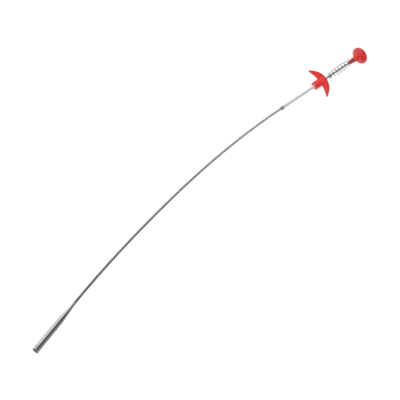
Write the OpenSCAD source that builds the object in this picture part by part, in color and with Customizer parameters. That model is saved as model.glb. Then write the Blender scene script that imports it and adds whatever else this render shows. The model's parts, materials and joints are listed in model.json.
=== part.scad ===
// Flexible claw grabber for drains: a thumb button pushes a cable through a
// flexible spring sleeve, and four sprung claws open out of the barrel at its end.
// Millimetres. The tool's own plane holds the handle axis, the finger wings and the
// sleeve's bend: +X runs from the sleeve to the button, and the sleeve bends to -Y.
// lie_down() then rests the tool on the floor. The drawing starts where the sleeve
// leaves the guide tube, and the packed origin is in the middle of the bare guide tube.

/* [Sleeve] */
// Outer diameter of the close-wound sleeve
sleeve_d = 3.4; // [2.8:0.1:4.2]
// Wire of the close-wound sleeve
sleeve_wire = 0.6; // [0.4:0.1:0.7]
// Free length of the sleeve, from guide tube to claw barrel
sleeve_len = 386; // [300:2:600]
// Bend at rest between one sleeve length and the next, guide tube first, in degrees
sleeve_bends = [3.5, 3.3, 2.6, 1.8, 1.9, 2.4]; // [0:0.1:6]
// Play in the ball and socket between two sleeve lengths
knuckle_gap = 0.05; // [0.02:0.01:0.1]
// Length of the sleeve's end inside the guide tube
sleeve_in_tube = 6; // [4:1:12]
// Length of the sleeve's end inside the barrel's neck
sleeve_in_barrel = 8; // [5:1:12]

/* [Cable and rod] */
// Diameter of the pushing cable
cable_d = 1.4; // [0.8:0.1:1.5]
// Diameter of the plunger rod
rod_d = 2.2; // [1.8:0.1:2.4]
// Running clearance on radius of the rod, its ferrule and the claw hub
slide_gap = 0.05; // [0.02:0.01:0.1]
// Clearance on radius of the sleeve in the guide tube
tube_gap = 0.1; // [0.05:0.01:0.2]
// Length of the ferrule that joins rod and cable
ferrule_len = 8; // [6:1:12]
// Depth of the rod and of the cable in the ferrule
ferrule_grip = 3; // [2:0.5:3.5]

/* [Guide tube] */
// Wall of the guide tube
tube_wall = 0.4; // [0.3:0.05:0.6]
// Length of guide tube between sleeve and grip
tube_len = 55; // [40:1:80]
// Wall of the crimped collar over the guide tube
collar_wall = 0.7; // [0.4:0.1:1.5]
// Length of the crimped collar
collar_len = 3.4; // [2:0.1:6]
// Length of the collar's lip over the sleeve
collar_lip = 1; // [0.5:0.1:2]

/* [Finger grip] */
// Wall of the grip's boss over the guide tube
boss_wall = 3; // [1.6:0.1:4]
// Length of the boss in front of the wings
boss_len = 10.5; // [6:0.5:16]
// Width of the grip over both wing tips
wings_w = 41; // [30:0.2:60]
// Length of the wings' root along the axis
wings_root = 10; // [6:0.2:14]
// Sweep of the wing tips behind the root's front face
wings_sweep = 5.2; // [1:0.2:8]
// Thickness of the wings at the boss
wings_t = 6.6; // [4:0.2:8]
// Thickness of the wings at their tips
tips_t = 3; // [2:0.2:4]
// Radius of the rounded wing tips
tips_r = 1.4; // [0.6:0.1:1.5]
// Thickness of the grip behind the guide tube's end
nose_t = 2.4; // [1.5:0.1:4]

/* [Spring and its seat] */
// Gap between the grip and the spring's seat
seat_gap = 4.4; // [2:0.2:8]
// Thickness of the spring's seat
seat_t = 1.2; // [1:0.1:3]
// Wall of the seat's stem around the rod
stem_wall = 0.4; // [0.3:0.05:0.5]
// Length of the seat's plug in the guide tube
plug_len = 8; // [4:0.5:12]
// Length of the return spring
spring_len = 40.6; // [30:0.2:60]
// Largest outer diameter of the barrel-shaped spring
spring_d = 11; // [8:0.2:16]
// Wire of the return spring
spring_wire = 0.8; // [0.5:0.1:1]
// Clearance on radius of the spring's end coil around the button's neck
spring_gap = 0.1; // [0.05:0.05:0.4]
// Where the spring is widest, as a share of its length from the seat
spring_widest = 0.42; // [0.3:0.01:0.6]
// Turns of the return spring
spring_turns = 11; // [6:0.5:14]

/* [Thumb button] */
// Diameter of the button
button_d = 22.8; // [16:0.2:30]
// Height of the band around the button's rim
rim_t = 0.8; // [0.4:0.2:4]
// Height of the button's dome over the rim
dome_h = 7.4; // [1:0.2:9]
// Height of the button's rounded underside
under_h = 6.6; // [3:0.2:9]
// Distance from the spring's end to the button's rim
cone_h = 10.6; // [10:0.2:16]
// Diameter of the cone where it meets the underside
cone_d = 9.4; // [6:0.2:12]
// Diameter of the button's neck
neck_d = 4.6; // [4:0.1:5]
// Length of the neck inside the spring
neck_len = 7; // [3:0.1:10]
// Travel of the thumb button
travel = 20; // [12:1:20]

/* [Claw barrel] */
// Outer diameter of the barrel
barrel_d = 8.8; // [8.4:0.1:12]
// Wall of the barrel
barrel_wall = 0.4; // [0.3:0.05:0.4]
// Length of the barrel with its tapered neck
barrel_len = 80; // [78:1:100]
// Length of the tapered neck
taper_len = 36; // [24:1:38]
// Wall of the neck around the sleeve
neck_wall = 0.45; // [0.3:0.05:0.8]

/* [Claws] */
// Wire of the claws
claw_wire = 0.9; // [0.7:0.1:0.9]
// Distance of each claw from the barrel's axis
claw_r = 1.6; // [1.4:0.1:1.7]
// Inset of the closed claws behind the mouth
claw_inset = 0.4; // [0.2:0.1:2]
// Radius of the outward bend at the claw's end
bow_r = 2.5; // [1.5:0.1:2.5]
// Radius of the inward hook at the claw's end
hook_r = 1.3; // [1:0.1:1.3]
// Angle of the outward bend, in degrees
bow_turn = 45; // [30:1:45]
// Angle of the hook past the claw's axis, in degrees
hook_turn = 100; // [80:1:110]
// Depth of the claws' roots behind the mouth when they are pushed out
root_depth = 2; // [2:0.5:4]
// Length of the hub that holds the claws
hub_len = 8; // [5:0.5:12]

/* [Hidden] */
$fn = 64;
bend_count = len(sleeve_bends);
claw_count = 4;
root_gap = 0.3;
hub_gap = 0.2;
cable_gap = 0.3;
rod_inset = 2;
cone_share = 0.9;
spring_flat = 1.15;
spring_round = 1.2;
feed_room = 2;
neck_step = 0.2;
wall_lag = 2;
cut = 1;
wire_sides = 8;
spring_steps = 14;
taper_steps = 8;
claw_steps = 6;

sleeve_pitch = sleeve_len / bend_count;
bore_d = sleeve_d - 2 * sleeve_wire;
tube_bore = sleeve_d + 2 * tube_gap;
tube_d = tube_bore + 2 * tube_wall;
collar_d = tube_d + 2 * collar_wall;
boss_d = tube_d + 2 * boss_wall;
rod_bore = rod_d + 2 * slide_gap;
stem_d = rod_bore + 2 * stem_wall;
spring_end_d = neck_d + 2 * (spring_wire + spring_gap);
seat_d = spring_end_d;
grip_x = tube_len;
clip_x = (collar_len + tube_len) / 2;
root_x = grip_x + boss_len;
grip_end = root_x + wings_root;
tube_end = grip_end - nose_t;
seat_x = grip_end + seat_gap;
spring_x = seat_x + seat_t;
cone_x = spring_x + spring_len;
neck_x = cone_x - neck_len;
rim_x = cone_x + cone_h;
button_end = rim_x + rim_t + dome_h;
rod_end = rim_x - rod_inset;
ferrule_x = sleeve_in_tube + travel + feed_room;
claw_reach = (bow_r + hook_r) * sin(bow_turn) + hook_r + claw_wire / 2;
claw_straight = travel + root_depth - claw_inset - claw_reach;
pivot_t = barrel_len - travel - root_depth;
hub_t = pivot_t - hub_gap - hub_len;
cable_back = travel + feed_room;

// Heading of sleeve length i, in degrees from -X towards -Y
function heading(i) = i == 0 ? 0 : heading(i - 1) + (i > bend_count ? 0 : sleeve_bends[i - 1]);
// The first and last sleeve lengths are half as long as the others
function length_of(i) = (i == 0 || i == bend_count) ? sleeve_pitch / 2 : sleeve_pitch;
function ahead(angle) = [-cos(angle), -sin(angle), 0];
// Where sleeve length i starts, which is also the centre of bend i
function start_of(i) =
    i == 0 ? [0, 0, 0] : start_of(i - 1) + length_of(i - 1) * ahead(heading(i - 1));

barrel_at = start_of(bend_count + 1);
barrel_turn = heading(bend_count);

// The floor touches the button's rim, the sleeve at one bend and the barrel's shoulder:
// each is round, and given by its centre and its radius
touching_bend = 4;
CONTACTS = [
    [[rim_x, 0, 0], button_d / 2],
    [start_of(touching_bend), sleeve_d / 2],
    [barrel_at + taper_len * ahead(barrel_turn), barrel_d / 2],
];
// Upright direction of the floor under those three, from a first guess of it
function upright(guess) =
    let (p = [for (c = CONTACTS) c[0] - c[1] * guess],
         n = cross(p[2] - p[0], p[1] - p[0]))
    n / norm(n) * sign(n[2]);
up = upright(upright([0, 0, 1]));
along = [1, 0, 0] - up[0] * up;
ex = along / norm(along);
ey = cross(up, ex);
REST = [
    [ex[0], ex[1], ex[2], 0],
    [ey[0], ey[1], ey[2], 0],
    [up[0], up[1], up[2], 0],
    [0, 0, 0, 1],
];

steel = [0.78, 0.78, 0.8];
dark_steel = [0.5, 0.5, 0.53];
red = [0.86, 0.16, 0.16];

// Turns the tool's plane so that its three lowest points lie on one level floor, and
// moves the middle of the bare guide tube to the origin
module lie_down() {
    multmatrix(REST) translate([-clip_x, 0, 0]) children();
}

// Stands what is drawn along +Z onto the handle's axis, from x towards the button
module on_axis(x = 0) {
    translate([x, 0, 0]) rotate([0, 90, 0]) children();
}

// Stands what is drawn along +Z onto sleeve length i, from its start towards the claws
module on_sleeve(i) {
    translate(start_of(i)) rotate(heading(i) + 180) rotate([0, 90, 0]) children();
}

// Stands what is drawn along +Z onto the barrel's axis, from its thin end to its mouth
module on_barrel(t = 0) {
    translate(barrel_at) rotate(barrel_turn + 180) rotate([0, 90, 0]) translate([0, 0, t])
        children();
}

module ring(outer_d, inner_d, h) {
    difference() {
        cylinder(d = outer_d, h = h);
        translate([0, 0, -cut]) cylinder(d = inner_d, h = h + 2 * cut);
    }
}

// A sleeve length: a socket at its start, and a ball at its end that swings in the next
// one's socket. The first starts inside the guide tube, and the last ends in the barrel.
module sleeve(i) {
    from = i == 0 ? -sleeve_in_tube : 0;
    to = length_of(i) + (i == bend_count ? sleeve_in_barrel : 0);
    color(steel) lie_down() on_sleeve(i) rotate_extrude() difference() {
        union() {
            translate([0, from]) square([sleeve_d / 2, to - from]);
            if (i < bend_count) translate([0, to]) circle(d = sleeve_d - 2 * knuckle_gap);
        }
        if (i > 0) circle(d = sleeve_d + 2 * knuckle_gap);
        translate([bore_d / 2 - sleeve_d, from - cut]) square([sleeve_d, to - from + sleeve_d]);
    }
}

// The cable in a sleeve length: it stays clear of the knuckles and of cable_end
module cable(i) {
    from = i == 0 ? -sleeve_in_tube : sleeve_d / 2;
    to = length_of(i) - cable_gap - (i == bend_count ? cable_back : 0);
    color(dark_steel) lie_down() on_sleeve(i) translate([0, 0, from])
        cylinder(d = cable_d, h = to - from);
}

// The cable between sleeve and ferrule, which feeds into the sleeve as the rod comes
module cable_lead() {
    color(dark_steel) lie_down() on_axis(sleeve_in_tube)
        cylinder(d = cable_d, h = ferrule_x - sleeve_in_tube);
}

module guide_tube() {
    color(steel) lie_down() on_axis() ring(tube_d, tube_bore, tube_end);
}

module tube_collar() {
    color(steel) lie_down() difference() {
        on_axis(-collar_lip) cylinder(d = collar_d, h = collar_lip + collar_len);
        on_axis() cylinder(d = tube_d, h = collar_len + cut);
        on_axis(-collar_lip - cut)
            cylinder(d = sleeve_d + 2 * slide_gap, h = collar_lip + 2 * cut);
    }
}

// The wings' outline: the sweep of two round edges, closed by a round tip on each side
module wings_outline() {
    reach = wings_w / 2;
    tip_x = root_x - wings_sweep;
    outer_rise = grip_end - tip_x;
    outer_r = (reach * reach + outer_rise * outer_rise) / (2 * outer_rise);
    inner_r = (reach * reach + wings_sweep * wings_sweep) / (2 * wings_sweep);
    difference() {
        translate([grip_end - outer_r, 0]) circle(r = outer_r, $fn = 128);
        translate([root_x - inner_r, 0]) circle(r = inner_r, $fn = 256);
        translate([tip_x - 2 * outer_r, -2 * reach]) square([2 * outer_r, 4 * reach]);
    }
    for (side = [-1, 1])
        translate([tip_x + tips_r, side * (reach - tips_r)]) circle(r = tips_r, $fn = 32);
}

// The wings' thickness as seen along the axis: thick at the boss, thin at the tips
module wings_section() {
    rise = (wings_t - tips_t) / 2;
    arc_r = (wings_w * wings_w / 4 + rise * rise) / (2 * rise);
    intersection_for(side = [-1, 1])
        translate([0, side * (arc_r - wings_t / 2)]) circle(r = arc_r, $fn = 256);
}

module finger_grip() {
    color(red) lie_down() difference() {
        union() {
            on_axis(grip_x) cylinder(d = boss_d, h = tube_end - grip_x);
            intersection() {
                translate([0, 0, -wings_t]) linear_extrude(2 * wings_t) wings_outline();
                translate([grip_x, 0, 0]) rotate([90, 0, 90])
                    linear_extrude(boss_len + wings_root + cut) wings_section();
            }
        }
        on_axis(grip_x - cut) cylinder(d = tube_d, h = tube_end - grip_x + cut);
        on_axis(grip_x) cylinder(d = stem_d, h = boss_len + wings_root + cut);
    }
}

module spring_seat() {
    color(steel) lie_down() difference() {
        union() {
            on_axis(tube_end - plug_len) cylinder(d = tube_bore, h = plug_len);
            on_axis(tube_end - cut) cylinder(d = stem_d, h = seat_x - tube_end + cut + seat_t / 2);
            on_axis(seat_x) cylinder(d = seat_d, h = seat_t);
        }
        on_axis(tube_end - plug_len - cut)
            cylinder(d = rod_bore, h = spring_x - tube_end + plug_len + 2 * cut);
    }
}

// A round wire swept along rings: each ring is [centre, first normal, second normal]
module wire(rings, wire_d) {
    n = len(rings) - 1;
    points = [for (r = rings, k = [0:wire_sides - 1])
        let (b = 360 * k / wire_sides)
        r[0] + wire_d / 2 * (cos(b) * r[1] + sin(b) * r[2])];
    sides = [for (i = [0:n - 1], k = [0:wire_sides - 1])
        let (a = i * wire_sides, b = a + wire_sides, m = (k + 1) % wire_sides)
        each [[a + k, a + m, b + k], [a + m, b + m, b + k]]];
    first = [for (k = [0:wire_sides - 1]) wire_sides - 1 - k];
    last = [for (k = [0:wire_sides - 1]) n * wire_sides + k];
    polyhedron(points = points, faces = concat([first, last], sides));
}

// Radius of the spring at part f of its length: small end coils and a wide middle
function spring_r(f) =
    let (end_r = (spring_end_d - spring_wire) / 2,
         mid_r = (spring_d - spring_wire) / 2,
         g = f < spring_widest ? f / spring_widest : (1 - f) / (1 - spring_widest))
    end_r + (mid_r - end_r) * pow(sin(90 * min(1, spring_flat * g)), spring_round);
function spring_ring(f) =
    let (a = 360 * spring_turns * f,
         out = [cos(a), sin(a), 0],
         h = spring_wire / 2 + f * (spring_len - spring_wire))
    [spring_r(f) * out + [0, 0, h], out, [0, 0, 1]];

module return_spring() {
    n = spring_turns * spring_steps;
    color(steel) lie_down() on_axis(spring_x)
        wire([for (i = [0:n]) spring_ring(i / n)], spring_wire);
}

// Half of the button's section: neck, cone, rounded underside, rim and dome
module button_section() {
    r = button_d / 2;
    translate([0, neck_x]) square([neck_d / 2, neck_len + cone_h]);
    polygon([[0, cone_x], [neck_d / 2 + spring_wire, cone_x],
             [cone_d / 2, rim_x - under_h * cone_share], [cone_d / 2, rim_x], [0, rim_x]]);
    intersection() {
        translate([0, rim_x]) scale([r, under_h]) circle(r = 1, $fn = 128);
        translate([0, rim_x - under_h]) square([r, under_h]);
    }
    translate([0, rim_x]) square([r, rim_t]);
    intersection() {
        translate([0, rim_x + rim_t]) scale([r, dome_h]) circle(r = 1, $fn = 128);
        translate([0, rim_x + rim_t]) square([r, dome_h]);
    }
}

module thumb_button() {
    color(red) lie_down() difference() {
        on_axis() rotate_extrude() button_section();
        on_axis(neck_x - cut) cylinder(d = rod_d, h = rod_end - neck_x + cut);
    }
}

module plunger_rod() {
    from = ferrule_x + ferrule_len - ferrule_grip;
    color(steel) lie_down() on_axis(from) cylinder(d = rod_d, h = rod_end - from);
}

module rod_ferrule() {
    color(steel) lie_down() difference() {
        on_axis(ferrule_x) cylinder(d = tube_bore - 2 * slide_gap, h = ferrule_len);
        on_axis(ferrule_x + ferrule_len - ferrule_grip)
            cylinder(d = rod_d, h = ferrule_grip + cut);
    }
}

// Half of the barrel's section: its neck swells into the barrel, the wall follows
module barrel_section() {
    thin = sleeve_d / 2 + neck_wall;
    full = barrel_d / 2;
    swell = [for (k = [0:taper_steps])
        let (f = k / taper_steps)
        [thin + (full - thin) * (1 - cos(180 * f)) / 2, taper_len * f]];
    inside = [for (k = [taper_steps:-1:0])
        let (f = k / taper_steps)
        [max(sleeve_d / 2 - sleeve_wire,
             thin - barrel_wall + (full - thin) * (1 - cos(180 * f)) / 2),
         sleeve_in_barrel + neck_step + (taper_len - sleeve_in_barrel + wall_lag) * f]];
    polygon(concat(
        [[sleeve_d / 2, 0]], swell, [[full, barrel_len], [full - barrel_wall, barrel_len]],
        inside, [[sleeve_d / 2, sleeve_in_barrel + neck_step]]));
}

module claw_barrel() {
    color(steel) lie_down() on_barrel() rotate_extrude() barrel_section();
}

module claw_hub() {
    color(steel) lie_down() on_barrel(hub_t)
        cylinder(d = barrel_d - 2 * barrel_wall - 2 * slide_gap, h = hub_len);
}

module cable_end() {
    color(dark_steel) lie_down() on_barrel(-cable_back)
        cylinder(d = cable_d, h = cable_back + hub_t);
}

// Claw wire in its own plane, from its root along +Z: straight, bowed out, hooked in
function claw_ring(at, turn) = [[at[0], 0, at[1]], [cos(turn), 0, -sin(turn)], [0, 1, 0]];
function bow_at(turn) = [bow_r * (1 - cos(turn)), claw_straight + bow_r * sin(turn)];
function hook_at(turn) =
    let (centre = bow_at(bow_turn) + hook_r * [-cos(bow_turn), sin(bow_turn)])
    centre + hook_r * [cos(turn), -sin(turn)];

module claw(k) {
    bow = [for (i = [0:claw_steps]) bow_turn * i / claw_steps];
    hook = [for (i = [1:2 * claw_steps])
        bow_turn - (bow_turn + hook_turn) * i / (2 * claw_steps)];
    rings = concat(
        [claw_ring([0, root_gap], 0)],
        [for (turn = bow) claw_ring(bow_at(turn), turn)],
        [for (turn = hook) claw_ring(hook_at(turn), turn)]);
    color(steel) lie_down() on_barrel(pivot_t) rotate(360 * (k - 0.5) / claw_count)
        translate([claw_r, 0, 0]) wire(rings, claw_wire);
}

guide_tube();
tube_collar();
finger_grip();
spring_seat();
return_spring();
thumb_button();
plunger_rod();
rod_ferrule();
cable_lead();
for (i = [0:bend_count]) {
    sleeve(i);
    cable(i);
}
claw_barrel();
cable_end();
claw_hub();
for (k = [1:claw_count])
    claw(k);
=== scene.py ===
import json
import math

import bpy
import numpy as np
from mathutils import Matrix, Vector


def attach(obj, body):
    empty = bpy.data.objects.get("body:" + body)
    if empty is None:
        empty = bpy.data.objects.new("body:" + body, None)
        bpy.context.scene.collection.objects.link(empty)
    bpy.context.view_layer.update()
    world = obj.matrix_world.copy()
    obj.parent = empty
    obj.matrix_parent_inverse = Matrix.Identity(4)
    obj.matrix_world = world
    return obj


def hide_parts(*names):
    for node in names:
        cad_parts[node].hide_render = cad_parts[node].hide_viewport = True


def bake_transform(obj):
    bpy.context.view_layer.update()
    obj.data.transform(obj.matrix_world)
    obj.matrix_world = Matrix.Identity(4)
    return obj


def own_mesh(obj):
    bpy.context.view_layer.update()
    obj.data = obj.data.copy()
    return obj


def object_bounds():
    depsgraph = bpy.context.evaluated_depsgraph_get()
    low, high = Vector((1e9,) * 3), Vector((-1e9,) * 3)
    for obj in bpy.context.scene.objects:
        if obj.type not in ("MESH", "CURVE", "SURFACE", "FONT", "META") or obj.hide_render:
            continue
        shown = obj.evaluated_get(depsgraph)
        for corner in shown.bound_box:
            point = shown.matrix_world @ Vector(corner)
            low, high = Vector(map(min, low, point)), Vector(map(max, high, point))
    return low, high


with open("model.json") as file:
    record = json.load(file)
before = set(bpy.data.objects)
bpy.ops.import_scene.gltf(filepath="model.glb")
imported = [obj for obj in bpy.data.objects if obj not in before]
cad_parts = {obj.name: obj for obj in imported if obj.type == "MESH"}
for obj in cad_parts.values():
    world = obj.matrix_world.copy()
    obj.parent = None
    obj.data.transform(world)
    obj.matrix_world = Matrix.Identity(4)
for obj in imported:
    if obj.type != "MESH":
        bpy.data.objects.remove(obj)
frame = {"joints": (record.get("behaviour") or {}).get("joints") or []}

cad_box = [list(corner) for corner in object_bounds()]

# ---- Camera, floor and studio light
# A long lens looks steeply down on the tool from the claws' side, as it lies on a pale
# floor. A long soft box hangs low on one side, a screen overhead, and the room is dim.
camera_target = Vector((-0.19266, -0.03777, 0.0))
camera_distance = 5.0
camera_azimuth = math.radians(157.42)
camera_elevation = math.radians(63.41)
camera_roll = math.radians(80.39)
camera_lens = 358.0

back = Vector((
    math.cos(camera_elevation) * math.cos(camera_azimuth),
    math.cos(camera_elevation) * math.sin(camera_azimuth),
    math.sin(camera_elevation),
))
level = Vector((0, 0, 1)).cross(back).normalized()
rise = back.cross(level)
right = math.cos(camera_roll) * level + math.sin(camera_roll) * rise
upright = math.cos(camera_roll) * rise - math.sin(camera_roll) * level
camera_data = bpy.data.cameras.new("camera")
camera_data.lens = camera_lens
camera_data.sensor_width = 36
camera_data.clip_end = 50
camera = bpy.data.objects.new("camera", camera_data)
bpy.context.collection.objects.link(camera)
camera.matrix_world = (
    Matrix.Translation(camera_target + camera_distance * back)
    @ Matrix((right, upright, back)).transposed().to_4x4()
)
bpy.context.scene.camera = camera
bpy.context.scene.view_settings.view_transform = "Standard"

bpy.ops.object.select_all(action="DESELECT")
bpy.ops.mesh.primitive_plane_add(size=12, location=(0, 0, cad_box[0][2] - 0.00005))
floor = bpy.context.object
floor.name = "floor"
bpy.ops.object.transform_apply()
floor_paint = bpy.data.materials.new("pale_floor")
floor_paint.use_nodes = True
floor_shader = floor_paint.node_tree.nodes["Principled BSDF"]
floor_shader.inputs["Base Color"].default_value = (0.35, 0.35, 0.35, 1)
floor_shader.inputs["Emission Color"].default_value = (1, 1, 1, 1)
floor_shader.inputs["Emission Strength"].default_value = 0.8
floor_shader.inputs["Roughness"].default_value = 0.9
floor_shader.inputs["Specular IOR Level"].default_value = 0.1
floor.data.materials.append(floor_paint)

room = bpy.data.worlds.new("studio_room")
bpy.context.scene.world = room
room.use_nodes = True
room_nodes = room.node_tree.nodes
# Dim above the tool, paler behind the camera's left, and half pale low on its right
room_way = room_nodes.new("ShaderNodeTexCoord")
room_side = room_nodes.new("ShaderNodeVectorMath")
room_side.operation = "DOT_PRODUCT"
room_side.inputs[1].default_value = (0.255, -0.921, 0.295)
room_share = room_nodes.new("ShaderNodeMapRange")
room_share.inputs["From Min"].default_value = -1
room_shade = room_nodes.new("ShaderNodeValToRGB")
room.node_tree.links.new(room_way.outputs["Generated"], room_side.inputs[0])
room.node_tree.links.new(room_side.outputs["Value"], room_share.inputs["Value"])
room.node_tree.links.new(room_share.outputs[0], room_shade.inputs[0])
room.node_tree.links.new(room_shade.outputs[0], room_nodes["Background"].inputs["Color"])
room_stops = room_shade.color_ramp.elements
room_stops[0].position = 0.25
room_stops[0].color = (0.62, 0.62, 0.63, 1)
room_stops[1].position = 0.84
room_stops[1].color = (0.36, 0.36, 0.37, 1)
for at, tone in ((0.36, 0.32), (0.43, 0.13), (0.72, 0.1)):
    room_stops.new(at).color = (tone, tone, tone, 1)
room_nodes["Background"].inputs["Strength"].default_value = 1


def soft_box(name, place, aim, width, depth, watts, in_gloss=True):
    """A flat lamp. One that stays out of the gloss lights the tool from behind a screen."""
    lamp = bpy.data.lights.new(name, "AREA")
    lamp.shape = "RECTANGLE"
    lamp.size = width
    lamp.size_y = depth
    lamp.energy = watts
    box = bpy.data.objects.new(name, lamp)
    bpy.context.collection.objects.link(box)
    box.location = place
    box.rotation_euler = (Vector(aim) - Vector(place)).to_track_quat("-Z", "Y").to_euler()
    box.visible_glossy = in_gloss


soft_box("key_box", (0.33, 1.87, 0.9), (-0.2, 0, 0), 1.8, 0.75, 5.5)
soft_box("overhead_screen", (-0.4, -0.1, 2.6), (-0.2, 0, 0), 2.6, 2.6, 52, False)

# ---- Flexible sleeve
# A close-wound spring of round steel wire, 3.4 mm thick and 386 mm long, that carries
# the push from the tube to the claws. Bends are spread evenly over each of its lengths.
joints = {joint["name"]: joint for joint in frame["joints"]}
along = -Vector(joints["plunger_slide"]["axis"]).normalized()
up = Vector(joints["sleeve_bend_1"]["axis"]).normalized()
across = up.cross(along)
clip_x = 0.0292
sleeve_d = 0.0034
sleeve_wire = 0.0006
bend_count = 6
sleeve_turns = 107
turns_in_tube = 10
turns_in_barrel = 13
hinges = [Vector(joints[f"sleeve_bend_{k}"]["pos_m"]) for k in range(1, bend_count + 1)]
sleeve_exit = -clip_x * along
half_length = (hinges[0] - sleeve_exit).length
claw_way = Vector(joints["claw_slide"]["axis"]).normalized()
barrel_start = hinges[-1] + half_length * claw_way


def on_line(start, z_way, x_way):
    """The place that stands what is made along +Z on a line from start, +X towards x_way."""
    y_way = z_way.cross(x_way).normalized()
    x_way = y_way.cross(z_way)
    turn = Matrix((x_way, y_way, z_way)).transposed().to_4x4()
    return Matrix.Translation(start) @ turn


def points_of(piece):
    points = np.zeros(len(piece.data.vertices) * 3)
    piece.data.vertices.foreach_get("co", points)
    return points.reshape(-1, 3)


def move_points(piece, points):
    piece.data.vertices.foreach_set("co", np.asarray(points, float).ravel())
    piece.data.update()


def apply_modifier(piece, kind, **settings):
    bpy.ops.object.select_all(action="DESELECT")
    bpy.context.view_layer.objects.active = piece
    piece.select_set(True)
    modifier = piece.modifiers.new(kind.lower(), kind)
    for setting, value in settings.items():
        setattr(modifier, setting, value)
    bpy.ops.object.modifier_apply(modifier=modifier.name)


def edit_all(piece):
    """Opens the piece in edit mode with all of it selected."""
    bpy.ops.object.select_all(action="DESELECT")
    bpy.context.view_layer.objects.active = piece
    piece.select_set(True)
    bpy.ops.object.mode_set(mode="EDIT")
    bpy.ops.mesh.select_all(action="SELECT")


def close_up(piece, smooth_below):
    """Merges doubles, closes open ends, turns the faces outwards and smooths."""
    edit_all(piece)
    bpy.ops.mesh.remove_doubles(threshold=1e-7)
    bpy.ops.mesh.fill_holes(sides=0)
    bpy.ops.mesh.normals_make_consistent(inside=False)
    bpy.ops.object.mode_set(mode="OBJECT")
    bpy.ops.object.shade_smooth_by_angle(angle=math.radians(smooth_below))


def coiled_wire(name, turns, coil_r, wire_r, pitch, steps, sides):
    """A round wire wound around +Z, from a ring that a screw carries round and up.
    The wire's rings follow each other, steps of them to a turn."""
    bpy.ops.object.select_all(action="DESELECT")
    bpy.ops.mesh.primitive_circle_add(
        vertices=sides, radius=wire_r, location=(coil_r, 0, 0), rotation=(math.pi / 2, 0, 0)
    )
    wire = bpy.context.object
    wire.name = name
    bpy.ops.object.transform_apply()
    apply_modifier(
        wire, "SCREW", axis="Z", angle=2 * math.pi * turns, steps=int(turns * steps),
        render_steps=int(turns * steps), screw_offset=pitch * turns, iterations=1,
    )
    return wire


def bend_onto(piece, first, corner, last, reach):
    """Lays what is made along +Z, from 0 to reach, on the arc that touches both straight
    stretches around the corner. What lies beyond goes straight on."""
    points = points_of(piece)
    before = np.array((corner - first).normalized())
    after = np.array((last - corner).normalized())
    inward = after - after.dot(before) * before
    turn = math.atan2(np.linalg.norm(inward), after.dot(before))
    inward /= np.linalg.norm(inward)
    arc_r = (corner - first).length / math.tan(turn / 2)
    travelled = points[:, 2] * arc_r * turn / reach
    on_arc = np.clip(travelled, 0, arc_r * turn)
    angle = (on_arc / arc_r)[:, None]
    ahead = np.cos(angle) * before + np.sin(angle) * inward
    side = np.cos(angle) * inward - np.sin(angle) * before
    centre = np.array(first) + arc_r * (np.sin(angle) * before + (1 - np.cos(angle)) * inward)
    centre += (travelled - on_arc)[:, None] * ahead
    upward = np.cross(before, inward)
    move_points(piece, centre + points[:, :1] * side + points[:, 1:2] * upward)



def new_group(name, inputs, outputs):
    """An empty node group with named sockets, and its two ends."""
    tree = bpy.data.node_groups.new(name, "ShaderNodeTree")
    for label, kind, value in inputs:
        socket = tree.interface.new_socket(label, in_out="INPUT", socket_type=kind)
        socket.default_value = value
    for label, kind in outputs:
        tree.interface.new_socket(label, in_out="OUTPUT", socket_type=kind)
    return tree, tree.nodes.new("NodeGroupInput"), tree.nodes.new("NodeGroupOutput")


def put(tree, kind, links=(), **settings):
    """A node of that kind. Each link is a socket of the node and what feeds it."""
    node = tree.nodes.new(kind)
    for setting, value in settings.items():
        setattr(node, setting, value)
    for socket, source in links:
        if isinstance(source, bpy.types.NodeSocket):
            tree.links.new(source, node.inputs[socket])
        else:
            node.inputs[socket].default_value = source
    return node


def sum_of(tree, operation, *sources):
    links = list(enumerate(sources))
    return put(tree, "ShaderNodeMath", links, operation=operation).outputs[0]


# Fine lines that a drawing die or a brush leaves along one way, as a mask and a height
drawn_lines, given, result = new_group(
    "drawn_lines",
    [("Vector", "NodeSocketVector", (0, 0, 0)), ("Lines per metre", "NodeSocketFloat", 6000.0),
     ("Stretch", "NodeSocketFloat", 0.02)],
    [("Mask", "NodeSocketFloat"), ("Height", "NodeSocketFloat")],
)
stretched = put(drawn_lines, "ShaderNodeCombineXYZ", [
    ("X", 1.0), ("Y", 1.0), ("Z", given.outputs["Stretch"])])
squeezed = put(drawn_lines, "ShaderNodeVectorMath", [
    (0, given.outputs["Vector"]), (1, stretched.outputs[0])], operation="MULTIPLY")
fine = put(drawn_lines, "ShaderNodeTexNoise", [
    ("Vector", squeezed.outputs[0]), ("Scale", given.outputs["Lines per metre"]),
    ("Detail", 3.0), ("Roughness", 0.6)])
broad = put(drawn_lines, "ShaderNodeTexNoise", [
    ("Vector", squeezed.outputs[0]),
    ("Scale", sum_of(drawn_lines, "MULTIPLY", given.outputs["Lines per metre"], 0.15)),
    ("Detail", 1.0)])
both = sum_of(drawn_lines, "ADD", sum_of(drawn_lines, "MULTIPLY", fine.outputs[0], 0.6),
              sum_of(drawn_lines, "MULTIPLY", broad.outputs[0], 0.4))
drawn_lines.links.new(both, result.inputs["Height"])
spread = put(drawn_lines, "ShaderNodeMapRange", [
    ("Value", both), ("From Min", 0.35), ("From Max", 0.65)])
drawn_lines.links.new(spread.outputs[0], result.inputs["Mask"])

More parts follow.
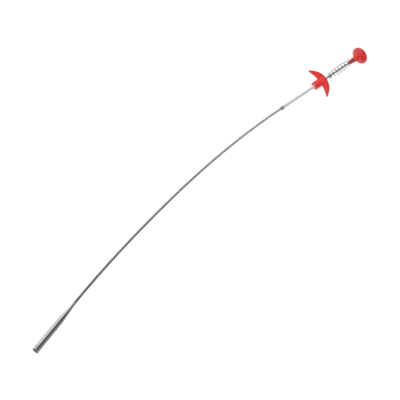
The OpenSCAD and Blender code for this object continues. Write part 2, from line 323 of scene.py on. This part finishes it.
# Marks of hands and of the drain: soft smudges with fine scratches across them
handling_marks, given, result = new_group(
    "handling_marks",
    [("Vector", "NodeSocketVector", (0, 0, 0)), ("Smudge scale", "NodeSocketFloat", 120.0),
     ("Scratch scale", "NodeSocketFloat", 700.0)],
    [("Smudges", "NodeSocketFloat"), ("Scratches", "NodeSocketFloat")],
)
smudge = put(handling_marks, "ShaderNodeTexNoise", [
    ("Vector", given.outputs["Vector"]), ("Scale", given.outputs["Smudge scale"]),
    ("Detail", 4.0), ("Roughness", 0.55), ("Distortion", 0.4)])
smudged = put(handling_marks, "ShaderNodeMapRange", [
    ("Value", smudge.outputs[0]), ("From Min", 0.42), ("From Max", 0.68)])
handling_marks.links.new(smudged.outputs[0], result.inputs["Smudges"])
cell = put(handling_marks, "ShaderNodeTexVoronoi", [
    ("Vector", given.outputs["Vector"]), ("Scale", given.outputs["Scratch scale"]),
    ("Randomness", 1.0)], feature="DISTANCE_TO_EDGE")
thin = put(handling_marks, "ShaderNodeMapRange", [
    ("Value", cell.outputs["Distance"]), ("From Min", 0.0), ("From Max", 0.02),
    ("To Min", 1.0), ("To Max", 0.0)])
broken = sum_of(handling_marks, "MULTIPLY", thin.outputs[0], smudged.outputs[0])
handling_marks.links.new(broken, result.inputs["Scratches"])


def steel(name, pale, dark, roughness, line_way=None, lines=6000.0, stretch=0.02,
          bump=0.00001, metallic=1.0, painted_shade_from=None):
    """Bare or plated steel: drawn lines along line_way, smudges that dull it, scratches.
    The last argument is where a painted shade starts. From there the colour darkens steadily
    towards -X, mottled by the smudges."""
    material = bpy.data.materials.new(name)
    material.use_nodes = True
    tree = material.node_tree
    shader = tree.nodes["Principled BSDF"]
    shader.inputs["Metallic"].default_value = metallic
    place = put(tree, "ShaderNodeTexCoord").outputs["Object"]
    turned_place = put(tree, "ShaderNodeMapping", [("Vector", place)], vector_type="TEXTURE")
    if line_way is not None:
        turned_place.inputs["Rotation"].default_value = (
            line_way.to_track_quat("Z", "Y").to_euler())
    line = put(tree, "ShaderNodeGroup", node_tree=drawn_lines)
    tree.links.new(turned_place.outputs[0], line.inputs["Vector"])
    line.inputs["Lines per metre"].default_value = lines
    line.inputs["Stretch"].default_value = stretch
    marks = put(tree, "ShaderNodeGroup", node_tree=handling_marks)
    tree.links.new(place, marks.inputs["Vector"])
    tone = put(tree, "ShaderNodeMix", [
        ("Factor", line.outputs["Mask"]), ("A", (*dark, 1)), ("B", (*pale, 1))],
        data_type="RGBA")
    colour = tone.outputs["Result"]
    # Painted shade: the colour darkens steadily towards -X, mottled by the smudges, in place
    # of shading from the lamps.
    if painted_shade_from is not None:
        far = put(tree, "ShaderNodeSeparateXYZ", [(0, place)])
        shade_ramp = put(tree, "ShaderNodeMapRange", [
            ("Value", far.outputs[0]), ("From Min", painted_shade_from), ("From Max", -0.42)])
        painted_shade = sum_of(tree, "MULTIPLY", shade_ramp.outputs[0], sum_of(
            tree, "ADD", sum_of(tree, "MULTIPLY", marks.outputs["Smudges"], 0.25), 0.75))
        colour = put(tree, "ShaderNodeMix", [
            ("Factor", painted_shade), ("A", colour), ("B", (0.2, 0.195, 0.19, 1))],
            data_type="RGBA").outputs["Result"]
    tree.links.new(colour, shader.inputs["Base Color"])
    dulled = sum_of(tree, "ADD", sum_of(tree, "MULTIPLY", marks.outputs["Smudges"], 0.12),
                    sum_of(tree, "MULTIPLY", line.outputs["Mask"], 0.08))
    dulled = sum_of(tree, "ADD", dulled, sum_of(tree, "MULTIPLY",
                    marks.outputs["Scratches"], 0.15))
    tree.links.new(sum_of(tree, "ADD", dulled, roughness), shader.inputs["Roughness"])
    relief = put(tree, "ShaderNodeBump", [
        ("Height", line.outputs["Height"]), ("Distance", bump), ("Strength", 0.5)])
    tree.links.new(relief.outputs[0], shader.inputs["Normal"])
    return material


# The sleeve's colour carries a painted shade, darker from x = -0.05 m towards -X.
sleeve_steel = steel("sleeve_wire_steel", (0.8, 0.8, 0.81), (0.6, 0.6, 0.61), 0.3,
                     metallic=0.75, painted_shade_from=-0.05)
stops = [sleeve_exit] + [(a + b) / 2 for a, b in zip(hinges, hinges[1:])] + [barrel_start]
for k in range(1, bend_count + 1):
    early = turns_in_tube if k == 1 else 0
    late = turns_in_barrel if k == bend_count else 0
    pitch = 2 * half_length / sleeve_turns
    coil = coiled_wire(
        f"sleeve_coil_{k}", sleeve_turns + early + late,
        (sleeve_d - sleeve_wire) / 2, sleeve_wire / 2, pitch, 16, 8,
    )
    move_points(coil, points_of(coil) - (0, 0, early * pitch))
    bend_onto(coil, stops[k - 1], hinges[k - 1], stops[k], 2 * half_length)
    close_up(coil, 60)
    coil.data.materials.append(sleeve_steel)
    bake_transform(coil)
    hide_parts(f"sleeve_{k}")
    if k == bend_count:
        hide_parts(f"sleeve_{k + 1}")

# ---- Pushing cable
# Six twisted strands of galvanized steel around a core, 1.4 mm thick, inside the sleeve.
# It is clamped in the rod's ferrule at one end and swaged into the claws' hub at the other.
cable_d = 0.0014
strand_d = cable_d / 3
strand_lay = 0.0085
cable_in_tube = 0.006
cable_in_barrel = 0.008
cable_back = 0.006
cable_steel = steel("cable_strand_steel", (0.5, 0.5, 0.5), (0.3, 0.3, 0.31), 0.35)


def twisted_cable(name, length, rings):
    """Six strands around a core: a lobed rod, turned steadily from ring to ring."""
    bpy.ops.object.select_all(action="DESELECT")
    bpy.ops.mesh.primitive_circle_add(vertices=36, radius=cable_d / 2, location=(0, 0, 0))
    cable = bpy.context.object
    cable.name = name
    edit_all(cable)
    for _ in range(rings):
        bpy.ops.mesh.extrude_region_move(
            TRANSFORM_OT_translate={"value": (0, 0, length / rings)})
    bpy.ops.object.mode_set(mode="OBJECT")
    points = points_of(cable)
    angle = np.arctan2(points[:, 1], points[:, 0])
    lobe = np.abs(np.cos(3 * angle))
    radius = cable_d / 2 - strand_d * (0.42 * (1 - lobe) ** 1.5)
    angle += 2 * math.pi * points[:, 2] / strand_lay
    move_points(cable, np.column_stack(
        [radius * np.cos(angle), radius * np.sin(angle), points[:, 2]]))
    close_up(cable, 50)
    cable.data.materials.append(cable_steel)
    return cable


for k in range(1, bend_count + 1):
    early = cable_in_tube if k == 1 else 0
    late = cable_in_barrel if k == bend_count else 0
    cable = twisted_cable(f"cable_run_{k}", 2 * half_length + early + late, 90)
    move_points(cable, points_of(cable) - (0, 0, early))
    bend_onto(cable, stops[k - 1], hinges[k - 1], stops[k], 2 * half_length)
    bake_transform(cable)
    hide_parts(f"cable_{k}")
    if k == bend_count:
        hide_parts(f"cable_{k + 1}")

handle_line = on_line(sleeve_exit, along, up)
ferrule_x = 0.028
cable = twisted_cable("cable_lead_run", ferrule_x - cable_in_tube, 30)
cable.data.transform(handle_line @ Matrix.Translation((0, 0, cable_in_tube)))
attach(cable, "handle")
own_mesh(cable)
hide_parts("cable_lead")

barrel_line = on_line(barrel_start, claw_way, up)
hub_t = 0.0498
cable = twisted_cable("cable_end_run", hub_t + cable_back, 60)
cable.data.transform(barrel_line @ Matrix.Translation((0, 0, -cable_back)))
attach(cable, "claw_carrier")
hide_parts("cable_end")

# ---- Guide tube
# Nickel-plated steel tube, 4.4 mm thick with a 0.4 mm wall, pressed through the finger
# grip. Its front end is swelled a little over the sleeve before the collar is crimped on.
tube_bright = steel("tube_nickel", (0.88, 0.88, 0.89), (0.76, 0.76, 0.77), 0.34, along,
                    9000.0, 0.015, metallic=0.5)
mm = 0.001


def drawn_out(name, place, rings, sides, smooth_below=35, fullness=2.0, bevel=0.0):
    """A ring that is drawn out and scaled from ring to ring, and closed at both ends. A
    ring is its height and its radius, or its height, two radii and the shift along X.
    Fullness over 2 squares the ring up. A last ring like the first closes a hollow."""
    rings = [ring if len(ring) == 4 else (ring[0], ring[1], ring[1], 0) for ring in rings]
    height, wide, deep, shift = rings[0]
    bpy.ops.object.select_all(action="DESELECT")
    bpy.ops.mesh.primitive_circle_add(vertices=sides, radius=mm, location=(0, 0, 0))
    piece = bpy.context.object
    piece.name = name
    points = points_of(piece) / mm
    size = (np.abs(points[:, 0]) ** fullness + np.abs(points[:, 1]) ** fullness)
    points /= (size ** (1 / fullness))[:, None]
    points *= (wide * mm, deep * mm, 1)
    points += (shift * mm, 0, height * mm)
    move_points(piece, points)
    edit_all(piece)
    for (h0, w0, d0, s0), (h1, w1, d1, s1) in zip(rings, rings[1:]):
        bpy.ops.mesh.extrude_region_move(TRANSFORM_OT_translate={
            "value": ((s1 - s0) * mm, 0, (h1 - h0) * mm)})
        bpy.ops.transform.resize(
            value=(w1 / w0, d1 / d0, 1), center_override=(s1 * mm, 0, h1 * mm))
    bpy.ops.object.mode_set(mode="OBJECT")
    close_up(piece, smooth_below)
    if bevel:
        apply_modifier(piece, "BEVEL", width=bevel * mm, segments=3,
                       limit_method="ANGLE", angle_limit=math.radians(smooth_below),
                       harden_normals=False)
        bpy.ops.object.shade_smooth_by_angle(angle=math.radians(smooth_below))
    piece.data.transform(place)
    return piece


tube_r = 2.2
tube_bore_r = 1.8
swell_r = 2.45
grip_x = 55
tube_end = 73.1
tube = drawn_out("guide_tube_shell", handle_line, [
    (0, tube_bore_r), (0, swell_r), (9.2, swell_r), (10, swell_r - 0.06),
    (10.6, tube_r + 0.04), (11, tube_r), (30, tube_r), (grip_x, tube_r),
    (tube_end, tube_r), (tube_end, tube_bore_r), (30, tube_bore_r), (0, tube_bore_r),
], 64, 30, bevel=0.08)
tube.data.materials.append(tube_bright)
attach(tube, "handle")
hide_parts("guide_tube")

# ---- Crimped collar
# A short steel ring, rolled over the tube's end and pressed into the sleeve behind it at
# six places, so that the sleeve can't pull out.
collar = drawn_out("crimped_collar", handle_line, [
    (-1, 1.75), (-1, 2.55), (-0.6, 2.85), (-0.1, 2.9), (2.6, 2.9), (3.1, 2.8),
    (3.4, 2.5), (3.4, 2.22), (0, 2.22), (0, 1.75), (-1, 1.75),
], 72, 30, bevel=0.06)
points = points_of(collar)
off_line = handle_line.inverted()
local = points @ np.array(off_line.to_3x3()).T + np.array(off_line.translation)
around = np.arctan2(local[:, 1], local[:, 0])
far = np.hypot(local[:, 0], local[:, 1])
press = np.clip(np.cos(6 * around), 0, 1) ** 2 * (far > 2.6 * mm)
press *= np.exp(-(((local[:, 2] / mm - 1.3) / 1.3) ** 4))
local[:, :2] *= (1 - 0.1 * press)[:, None]
move_points(collar, local @ np.array(handle_line.to_3x3()).T + np.array(sleeve_exit))
collar_steel = steel("collar_steel", (0.66, 0.66, 0.67), (0.46, 0.46, 0.47), 0.3, along,
                     5000.0, 0.5, metallic=0.8)
collar.data.materials.append(collar_steel)
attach(collar, "handle")
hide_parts("tube_collar")

# ---- Finger grip
# Two swept wings for the fingers and a round boss, moulded in one piece from glossy red
# plastic around the tube. The mould parts on the wings' middle plane.
boss_r = 5.2
boss_len = 10.5
root_x = grip_x + boss_len
grip_end = 75.5
reach = 20.5
wings_sweep = 5.2
wings_t = 6.6
tips_t = 3.0
tips_r = 1.4
stem_r = 1.55
tip_x = root_x - wings_sweep
outer_rise = grip_end - tip_x
outer_r = (reach ** 2 + outer_rise ** 2) / (2 * outer_rise)
inner_r = (reach ** 2 + wings_sweep ** 2) / (2 * wings_sweep)
thin = (wings_t - tips_t) / 2
arc_r = (reach ** 2 + thin ** 2) / (2 * thin)


def wing_ring(y):
    """One ring of the wings, at the distance y from the handle's axis."""
    outer = grip_end - outer_r + math.sqrt(outer_r ** 2 - y ** 2)
    inner = root_x - inner_r + math.sqrt(inner_r ** 2 - y ** 2)
    half = math.sqrt(arc_r ** 2 - y ** 2) - (arc_r - wings_t / 2)
    left = reach - abs(y)
    round_off = math.sqrt(max(0.02, 1 - (1 - min(1, left / tips_r)) ** 2))
    wide = max((outer - inner) / 2, tips_r + 0.3)
    return (y, wide * round_off, half * round_off, inner + wide)


stations = [reach * math.sin(math.pi * k / 56) for k in range(-28, 29)]
wings = drawn_out("finger_grip_body", Matrix.Identity(4),
                  [wing_ring(y) for y in stations], 40, 60, fullness=2.4)
wings.data.transform(on_line(sleeve_exit, across, along))
boss = drawn_out("grip_boss", handle_line, [
    (grip_x, 0.4), (grip_x, boss_r - 0.45), (grip_x + 0.12, boss_r - 0.18),
    (grip_x + 0.45, boss_r), (root_x, boss_r + 0.02), (root_x + 5.5, boss_r - 0.1),
    (root_x + 8.4, boss_r - 1.2), (grip_end - 0.5, 2.0), (grip_end - 0.2, 0.3),
], 64, 40)
bpy.ops.object.select_all(action="DESELECT")
boss.select_set(True)
wings.select_set(True)
bpy.context.view_layer.objects.active = wings
bpy.ops.object.join()
apply_modifier(wings, "REMESH", mode="VOXEL", voxel_size=0.00022, adaptivity=0.0)
apply_modifier(wings, "SMOOTH", factor=0.5, iterations=7)
bore = drawn_out("tube_bore", handle_line, [
    (grip_x - 3, tube_r), (tube_end, tube_r), (tube_end, stem_r), (grip_end + 3, stem_r)],
    64)
apply_modifier(wings, "BOOLEAN", operation="DIFFERENCE", solver="EXACT", object=bore)
bpy.data.objects.remove(bore, do_unlink=True)
bpy.ops.object.shade_smooth_by_angle(angle=math.radians(40))

# Fine grain of a mould's surface, and slow clouds where the colour flowed unevenly
moulded_grain, given, result = new_group(
    "moulded_grain",
    [("Vector", "NodeSocketVector", (0, 0, 0)), ("Grain scale", "NodeSocketFloat", 4000.0),
     ("Cloud scale", "NodeSocketFloat", 90.0)],
    [("Grain", "NodeSocketFloat"), ("Clouds", "NodeSocketFloat")],
)
grain = put(moulded_grain, "ShaderNodeTexNoise", [
    ("Vector", given.outputs["Vector"]), ("Scale", given.outputs["Grain scale"]),
    ("Detail", 2.0), ("Roughness", 0.5)])
clouds = put(moulded_grain, "ShaderNodeTexNoise", [
    ("Vector", given.outputs["Vector"]), ("Scale", given.outputs["Cloud scale"]),
    ("Detail", 3.0), ("Distortion", 0.8)])
moulded_grain.links.new(grain.outputs[0], result.inputs["Grain"])
spread = put(moulded_grain, "ShaderNodeMapRange", [
    ("Value", clouds.outputs[0]), ("From Min", 0.35), ("From Max", 0.65)])
moulded_grain.links.new(spread.outputs[0], result.inputs["Clouds"])


def red_plastic(name, seam_way, seam_at, deep, pale):
    """Glossy red plastic with a mould seam, on the plane across seam_way at seam_at."""
    material = bpy.data.materials.new(name)
    material.use_nodes = True
    tree = material.node_tree
    shader = tree.nodes["Principled BSDF"]
    shader.inputs["IOR"].default_value = 1.49
    shader.inputs["Coat Weight"].default_value = 0.15
    shader.inputs["Coat Roughness"].default_value = 0.2
    shader.inputs["Subsurface Weight"].default_value = 0.08
    shader.inputs["Subsurface Radius"].default_value = (0.003, 0.0006, 0.0004)
    place = put(tree, "ShaderNodeTexCoord").outputs["Object"]
    mould = put(tree, "ShaderNodeGroup", node_tree=moulded_grain)
    tree.links.new(place, mould.inputs["Vector"])
    marks = put(tree, "ShaderNodeGroup", node_tree=handling_marks)
    tree.links.new(place, marks.inputs["Vector"])
    tone = put(tree, "ShaderNodeMix", [
        ("Factor", mould.outputs["Clouds"]), ("A", (*deep, 1)),
        ("B", (*pale, 1))], data_type="RGBA")
    offset = put(tree, "ShaderNodeVectorMath", [(0, place), (1, seam_at)],
                 operation="SUBTRACT")
    off_seam = put(tree, "ShaderNodeVectorMath", [(0, offset.outputs[0]), (1, seam_way)],
                   operation="DOT_PRODUCT").outputs["Value"]
    seam = put(tree, "ShaderNodeMapRange", [
        ("Value", sum_of(tree, "ABSOLUTE", off_seam)), ("From Min", 0.00005),
        ("From Max", 0.00014), ("To Min", 1.0), ("To Max", 0.0)]).outputs[0]
    worn = put(tree, "ShaderNodeMix", [
        ("Factor", sum_of(tree, "MULTIPLY", marks.outputs["Scratches"], 0.35)),
        ("A", tone.outputs["Result"]), ("B", (0.95, 0.16, 0.14, 1))], data_type="RGBA")
    tree.links.new(worn.outputs["Result"], shader.inputs["Base Color"])
    dull = sum_of(tree, "ADD", sum_of(tree, "MULTIPLY", marks.outputs["Smudges"], 0.12),
                  sum_of(tree, "MULTIPLY", marks.outputs["Scratches"], 0.2))
    tree.links.new(sum_of(tree, "ADD", dull, 0.3), shader.inputs["Roughness"])
    raised = sum_of(tree, "ADD", sum_of(tree, "MULTIPLY", mould.outputs["Grain"], 0.25),
                    seam)
    relief = put(tree, "ShaderNodeBump", [
        ("Height", raised), ("Distance", 0.00005), ("Strength", 0.6)])
    tree.links.new(relief.outputs[0], shader.inputs["Normal"])
    return material


wings.data.materials.clear()
wings.data.materials.append(red_plastic(
    "grip_red_plastic", up, sleeve_exit, (0.7, 0.026, 0.026), (0.83, 0.042, 0.038)))
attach(wings, "handle")
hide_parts("finger_grip")

# ---- Spring seat
# A turned steel bush: a plug in the tube's end, a slim stem through the grip, and a
# flange that carries the return spring. The rod slides through it.
seat_x = 79.9
seat_r = 3.2
spring_x = 81.1
rod_bore_r = 1.15
plug_start = tube_end - 8
seat = drawn_out("spring_seat_bush", handle_line, [
    (plug_start, rod_bore_r), (plug_start, tube_bore_r), (tube_end, tube_bore_r),
    (tube_end, stem_r), (seat_x, stem_r), (seat_x, seat_r - 0.5),
    (seat_x + 0.3, seat_r), (spring_x, seat_r), (spring_x, rod_bore_r),
    (plug_start, rod_bore_r),
], 48, 30, bevel=0.12)
seat_steel = steel("seat_steel", (0.62, 0.64, 0.63), (0.45, 0.46, 0.46), 0.3, along,
                   7000.0, 8.0, metallic=0.7)
seat.data.materials.append(seat_steel)
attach(seat, "handle")
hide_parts("spring_seat")

# ---- Return spring
# Barrel-shaped spring of 0.8 mm wire with closed end coils, between the seat and the
# button's cone. It is built at its free length and fixed to the handle; on the tool it
# shortens to half that as the button is pushed.
spring_len = 40.6
spring_wire = 0.8
spring_turns = 11
spring_steps = 40
wire_sides = 12
closed_at_seat = 1.1
closed_at_button = 3.2
end_r = (6.4 - spring_wire) / 2
mid_r = (11 - spring_wire) / 2
spring = coiled_wire("return_spring_wire", spring_turns, end_r * mm, spring_wire / 2 * mm,
                     mm, spring_steps, wire_sides)
points = points_of(spring)
ring = np.arange(len(points)) // wire_sides
turn = np.linspace(0, spring_turns, ring[-1] + 1)
open_by = np.clip(np.minimum(turn / closed_at_seat - 0.55,
                             (spring_turns - turn) / closed_at_button - 0.25), 0, 1)
slope = open_by ** 2 * (3 - 2 * open_by)
climb = np.concatenate([[0], np.cumsum((slope[1:] + slope[:-1]) / 2 * np.diff(turn))])
closed = spring_wire * turn
free = spring_len - spring_wire - closed[-1]
height = closed + climb / climb[-1] * free
share = height / (spring_len - spring_wire)
grown = np.where(share < 0.42, share / 0.42, (1 - share) / 0.58)
coil_r = end_r + (mid_r - end_r) * np.sin(
    np.radians(90 * np.minimum(1, 1.15 * np.clip(grown, 0, 1)))) ** 1.2
angle = 2 * np.pi * turn[ring]
out = points[:, 0] * np.cos(angle) + points[:, 1] * np.sin(angle) - end_r * mm
lift = points[:, 2] - mm * turn[ring]
radius = coil_r[ring] * mm + out
points = np.column_stack([
    radius * np.cos(angle), radius * np.sin(angle),
    (height[ring] + spring_wire / 2) * mm + lift])
move_points(spring, points)
close_up(spring, 60)
spring.data.transform(handle_line @ Matrix.Translation((0, 0, spring_x * mm)))
spring_bright = steel("spring_wire_steel", (0.4, 0.42, 0.42), (0.26, 0.28, 0.28), 0.3)
spring.data.materials.append(spring_bright)
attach(spring, "handle")
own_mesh(spring)
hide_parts("return_spring")

# ---- Plunger rod and its ferrule
# A straight ground steel rod, pressed into the button, and the drilled steel ferrule in
# the tube that joins it to the cable. The ferrule is crimped over the cable.
rod_end = 130.3
rod_r = 1.1
ferrule_front = ferrule_x / mm
ferrule_back = ferrule_front + 8
rod_start = ferrule_back - 3
rod = drawn_out("plunger_rod_bar", handle_line, [
    (rod_start, rod_r - 0.25), (rod_start + 0.25, rod_r), (60, rod_r), (95, rod_r),
    (rod_end - 0.25, rod_r), (rod_end, rod_r - 0.25)], 32, 30)
rod_steel = steel("rod_steel", (0.55, 0.56, 0.56), (0.4, 0.4, 0.41), 0.3, along,
                  9000.0, 0.01)
rod.data.materials.append(rod_steel)
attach(rod, "plunger")
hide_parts("plunger_rod")

ferrule_r = 1.75
crimped_r = ferrule_r - 0.2
cable_bore_r = cable_d / 2 / mm
ferrule = drawn_out("rod_ferrule_bush", handle_line, [
    (ferrule_front, cable_bore_r), (ferrule_front, crimped_r),
    (ferrule_front + 0.2, ferrule_r), (ferrule_front + 1, ferrule_r),
    (ferrule_front + 1.4, crimped_r), (ferrule_front + 2, crimped_r),
    (ferrule_front + 2.4, ferrule_r), (ferrule_back - 0.2, ferrule_r),
    (ferrule_back, crimped_r), (ferrule_back, rod_r), (rod_start, rod_r),
    (rod_start, cable_bore_r), (ferrule_front, cable_bore_r)], 48, 30, bevel=0.06)
ferrule.data.materials.append(rod_steel)
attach(ferrule, "plunger")
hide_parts("rod_ferrule")

# ---- Thumb button
# A turned-looking round knob with a domed top and a rounded underside, a cone, and a neck
# that centres the spring, moulded in one piece from the same red plastic, and pressed on.
button_r = 11.4
rim_t = 0.8
dome_h = 7.4
under_h = 6.6
cone_r = 4.7
cone_rise = 4.2
neck_r = 2.3
shoulder_r = neck_r + spring_wire
cone_x = spring_x + spring_len
neck_x = cone_x - 7
rim_x = cone_x + 10.6
inset = 0.14
profile = [(rod_end, 0.3), (rod_end, rod_r), (neck_x, rod_r), (neck_x, neck_r - 0.35),
           (neck_x + 0.35, neck_r), (cone_x - 0.5, neck_r), (cone_x, neck_r + 0.12),
           (cone_x, shoulder_r - 0.15), (cone_x + 0.15, shoulder_r)]
for k in range(1, 6):
    f = k / 6
    profile.append((cone_x + cone_rise * f, shoulder_r + (cone_r - shoulder_r) * f ** 1.5))
for k in range(6, 21):
    turn_k = math.radians(90 * k / 21)
    profile.append((rim_x - under_h * math.cos(turn_k),
                    (button_r - inset) * math.sin(turn_k)))
profile += [(rim_x - 0.1, button_r - inset - 0.02), (rim_x, button_r - 0.06),
            (rim_x + 0.12, button_r), (rim_x + rim_t - 0.12, button_r),
            (rim_x + rim_t, button_r - 0.06), (rim_x + rim_t + 0.1, button_r - inset - 0.02)]
for k in range(1, 25):
    turn_k = math.radians(90 * k / 25)
    r_k = (button_r - inset) * math.cos(turn_k)
    dish = 0.35 * math.exp(-((r_k / 5.5) ** 4))
    profile.append((rim_x + rim_t + dome_h * math.sin(turn_k) - dish, r_k))
button = drawn_out("thumb_button_body", handle_line, profile, 96, 40)
button.data.materials.append(red_plastic(
    "button_red_plastic", along, sleeve_exit + (rim_x + rim_t / 2) * mm * along,
    (0.65, 0.021, 0.021), (0.77, 0.034, 0.03)))
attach(button, "plunger")
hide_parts("thumb_button")

# ---- Claw barrel
# A stainless tube, 8.8 mm thick with a 0.4 mm wall, swaged down to a neck around the
# sleeve and crimped there in one groove. The mouth's edge is turned round.
barrel_r = 4.385
barrel_wall = 0.4
barrel_len = 80
taper_len = 36
neck_wall = 0.45
neck_in = 8
thin_r = sleeve_d / 2 / mm + neck_wall
bore_in = sleeve_d / 2 / mm
outside = [(0, bore_in), (0, thin_r - 0.1), (0.15, thin_r), (1.6, thin_r),
           (1.9, thin_r - 0.16), (2.2, thin_r - 0.16), (2.5, thin_r + 0.02)]
steps = 18
for k in range(3, steps + 1):
    f = k / steps
    outside.append((taper_len * f,
                    thin_r + (barrel_r - thin_r) * (1 - math.cos(math.pi * f)) / 2))
outside += [(50, barrel_r), (65, barrel_r), (barrel_len - 0.3, barrel_r),
            (barrel_len - 0.08, barrel_r - 0.06), (barrel_len, barrel_r - 0.2),
            (barrel_len - 0.08, barrel_r - 0.34), (barrel_len - 0.3, barrel_r - barrel_wall),
            (50, barrel_r - barrel_wall)]
for k in range(10, -1, -1):
    f = k / 10
    outside.append((neck_in + 0.2 + (taper_len - neck_in + 2) * f,
                    max(1.1, thin_r - barrel_wall
                        + (barrel_r - thin_r) * (1 - math.cos(math.pi * f)) / 2)))
outside += [(neck_in + 0.2, bore_in), (0, bore_in)]
barrel = drawn_out("claw_barrel_shell", barrel_line, outside, 96, 40)
barrel_steel = steel("barrel_stainless", (0.6, 0.6, 0.61), (0.48, 0.48, 0.49), 0.12,
                     claw_way, 8000.0, 0.012)
barrel.data.materials.append(barrel_steel)
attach(barrel, "head")
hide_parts("claw_barrel")

# ---- Claw hub
# A turned steel plug that slides in the barrel. The cable is swaged into its back and the
# four claw wires are pressed into holes in its front.
hub_r = barrel_r - barrel_wall - 0.05
chamfer = 0.3
swage_start = hub_t / mm
collar_start = swage_start + 1.6
hub_front = swage_start + 8
hub = drawn_out("claw_hub_plug", barrel_line, [
    (swage_start, 0.7), (swage_start, 2.2), (collar_start - 0.4, 2.6),
    (collar_start, hub_r - chamfer), (collar_start + chamfer, hub_r),
    (hub_front - chamfer, hub_r), (hub_front, hub_r - chamfer), (hub_front, 0.4)], 64, 30)
hub.data.materials.append(seat_steel)
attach(hub, "claw_carrier")
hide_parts("claw_hub")

# ---- Claws
# Four wires of hard spring steel, 0.9 mm thick. Each leaves the hub straight, bows out and
# ends in a hook that turns inwards, closed with a flat end. They lie closed in the barrel.
claw_wire = 0.9
claw_straight = 17.2
bow_r = 2.5
hook_r = 1.3
bow_turn = 45
hook_turn = 100
claw_root = 2.5
pivots = [Vector(joints[f"claw_{k}_spread"]["pos_m"]) for k in range(1, 5)]
pivot_centre = sum(pivots, Vector()) / len(pivots)
claw_steel = steel("claw_spring_steel", (0.5, 0.5, 0.52), (0.34, 0.34, 0.36), 0.22,
                   claw_way, 5000.0, 0.05)
for k, pivot in enumerate(pivots, 1):
    outward = (pivot - pivot_centre).normalized()
    bpy.ops.object.select_all(action="DESELECT")
    bpy.ops.mesh.primitive_circle_add(
        vertices=14, radius=claw_wire / 2 * mm, location=(0, 0, -claw_root * mm))
    claw = bpy.context.object
    claw.name = f"claw_wire_{k}"
    bpy.ops.object.transform_apply()
    edit_all(claw)
    lengths = [claw_root, 2, 2, 2, 3, 4, claw_straight - 13]
    for length in lengths:
        bpy.ops.mesh.extrude_region_move(
            TRANSFORM_OT_translate={"value": (0, 0, length * mm)})
    bpy.ops.mesh.spin(steps=8, angle=-math.radians(bow_turn),
                      center=(bow_r * mm, 0, claw_straight * mm), axis=(0, 1, 0))
    bow = math.radians(bow_turn)
    hook_centre = (
        (bow_r * (1 - math.cos(bow)) - hook_r * math.cos(bow)) * mm, 0,
        (claw_straight + bow_r * math.sin(bow) + hook_r * math.sin(bow)) * mm)
    bpy.ops.mesh.spin(steps=16, angle=math.radians(bow_turn + hook_turn),
                      center=hook_centre, axis=(0, 1, 0))
    bpy.ops.object.mode_set(mode="OBJECT")
    close_up(claw, 50)
    claw.data.transform(on_line(pivot, claw_way, outward))
    claw.data.materials.append(claw_steel)
    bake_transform(claw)
    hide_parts(f"claw_{k}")
